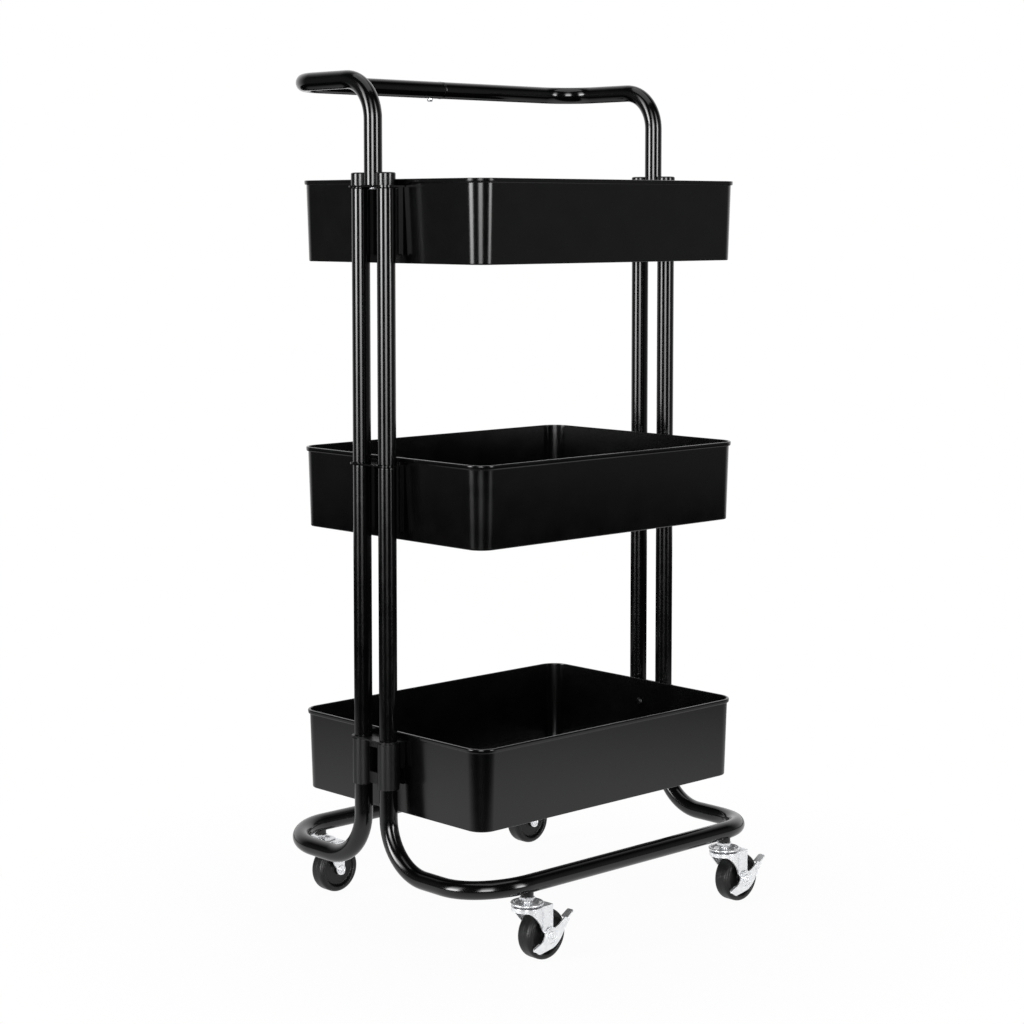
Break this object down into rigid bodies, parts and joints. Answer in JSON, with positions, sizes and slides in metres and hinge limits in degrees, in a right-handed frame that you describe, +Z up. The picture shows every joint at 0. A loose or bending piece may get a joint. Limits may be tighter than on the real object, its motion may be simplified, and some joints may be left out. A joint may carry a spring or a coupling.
{
  "type": "tool cart",
  "caption": "Upright tool cart: open rectangular steel baskets one above another between tube posts, a bent tube push handle, and looped tube base on swivel casters.",
  "frame": {"origin": "on the floor, under the middle of the cart", "axes": "+Z up; X along the baskets' long side; +Y towards the side that carries the handle's bar, so the casters with brakes are at -Y"},
  "size_m": [0.4398, 0.368, 0.9036],
  "materials": {
    "black_powder_coat": "semi-gloss black powder coat over steel",
    "black_plastic": "black moulded plastic",
    "bright_zinc": "bright zinc plate over pressed steel",
    "bearing_steel": "dark oiled steel",
    "black_screw": "black oxide"
  },
  "bodies": {
    "cart_frame": {"base_tube_front": "black_powder_coat", "base_tube_back": "black_powder_coat", "post_lower_front_left": "black_powder_coat", "post_lower_front_right": "black_powder_coat", "post_lower_back_left": "black_powder_coat", "post_lower_back_right": "black_powder_coat", "post_upper_front_left": "black_powder_coat", "post_upper_front_right": "black_powder_coat", "post_upper_back_left": "black_powder_coat", "post_upper_back_right": "black_powder_coat", "post_cap_front_left": "black_plastic", "post_cap_front_right": "black_plastic", "post_cap_back_left": "black_plastic", "post_cap_back_right": "black_plastic", "basket_bottom": "black_powder_coat", "bracket_bottom_left": "black_powder_coat", "bracket_bottom_right": "black_powder_coat", "wall_screw_bottom_left": "black_screw", "wall_screw_bottom_right": "black_screw", "basket_middle": "black_powder_coat", "bracket_middle_left": "black_powder_coat", "bracket_middle_right": "black_powder_coat", "wall_screw_middle_left": "black_screw", "wall_screw_middle_right": "black_screw", "basket_top": "black_powder_coat", "bracket_top_left": "black_powder_coat", "bracket_top_right": "black_powder_coat", "wall_screw_top_left": "black_screw", "wall_screw_top_right": "black_screw", "handle_left": "black_powder_coat", "handle_right": "black_powder_coat", "handle_joint_screw": "bright_zinc", "handle_foot_screw_left": "bright_zinc", "handle_foot_screw_right": "bright_zinc", "caster_socket_front_left": "black_powder_coat", "caster_stem_front_left": "bright_zinc", "caster_bearing_front_left": "bearing_steel", "caster_socket_front_right": "black_powder_coat", "caster_stem_front_right": "bright_zinc", "caster_bearing_front_right": "bearing_steel", "caster_socket_back_left": "black_powder_coat", "caster_stem_back_left": "bright_zinc", "caster_bearing_back_left": "bearing_steel", "caster_socket_back_right": "black_powder_coat", "caster_stem_back_right": "bright_zinc", "caster_bearing_back_right": "bearing_steel"},
    "swivel_front_left": {"caster_fork_front_left": "bright_zinc", "caster_axle_front_left": "bright_zinc"},
    "wheel_front_left": {"caster_wheel_front_left": "black_plastic"},
    "brake_front_left": {"brake_lever_front_left": "bright_zinc"},
    "swivel_front_right": {"caster_fork_front_right": "bright_zinc", "caster_axle_front_right": "bright_zinc"},
    "wheel_front_right": {"caster_wheel_front_right": "black_plastic"},
    "brake_front_right": {"brake_lever_front_right": "bright_zinc"},
    "swivel_back_left": {"caster_fork_back_left": "bright_zinc", "caster_axle_back_left": "bright_zinc"},
    "wheel_back_left": {"caster_wheel_back_left": "black_plastic"},
    "swivel_back_right": {"caster_fork_back_right": "bright_zinc", "caster_axle_back_right": "bright_zinc"},
    "wheel_back_right": {"caster_wheel_back_right": "black_plastic"}
  },
  "joints": [
    {"name": "swivel_front_left", "type": "hinge", "parent": "cart_frame", "child": "swivel_front_left", "pos_m": [-0.15, -0.1665, 0.0582], "axis": [0, 0, 1], "continuous": true},
    {"name": "wheel_front_left", "type": "hinge", "parent": "swivel_front_left", "child": "wheel_front_left", "pos_m": [-0.13, -0.1665, 0.0262], "axis": [0, 1, 0], "continuous": true},
    {"name": "brake_front_left", "type": "hinge", "parent": "swivel_front_left", "child": "brake_front_left", "pos_m": [-0.13, -0.1665, 0.0262], "axis": [0, 1, 0], "range_deg": [0, 16]},
    {"name": "swivel_front_right", "type": "hinge", "parent": "cart_frame", "child": "swivel_front_right", "pos_m": [0.15, -0.1665, 0.0582], "axis": [0, 0, 1], "continuous": true},
    {"name": "wheel_front_right", "type": "hinge", "parent": "swivel_front_right", "child": "wheel_front_right", "pos_m": [0.17, -0.1665, 0.0262], "axis": [0, 1, 0], "continuous": true},
    {"name": "brake_front_right", "type": "hinge", "parent": "swivel_front_right", "child": "brake_front_right", "pos_m": [0.17, -0.1665, 0.0262], "axis": [0, 1, 0], "range_deg": [0, 16]},
    {"name": "swivel_back_left", "type": "hinge", "parent": "cart_frame", "child": "swivel_back_left", "pos_m": [-0.15, 0.1665, 0.0582], "axis": [0, 0, 1], "continuous": true},
    {"name": "wheel_back_left", "type": "hinge", "parent": "swivel_back_left", "child": "wheel_back_left", "pos_m": [-0.13, 0.1665, 0.0262], "axis": [0, 1, 0], "continuous": true},
    {"name": "swivel_back_right", "type": "hinge", "parent": "cart_frame", "child": "swivel_back_right", "pos_m": [0.15, 0.1665, 0.0582], "axis": [0, 0, 1], "continuous": true},
    {"name": "wheel_back_right", "type": "hinge", "parent": "swivel_back_right", "child": "wheel_back_right", "pos_m": [0.17, 0.1665, 0.0262], "axis": [0, 1, 0], "continuous": true}
  ]
}
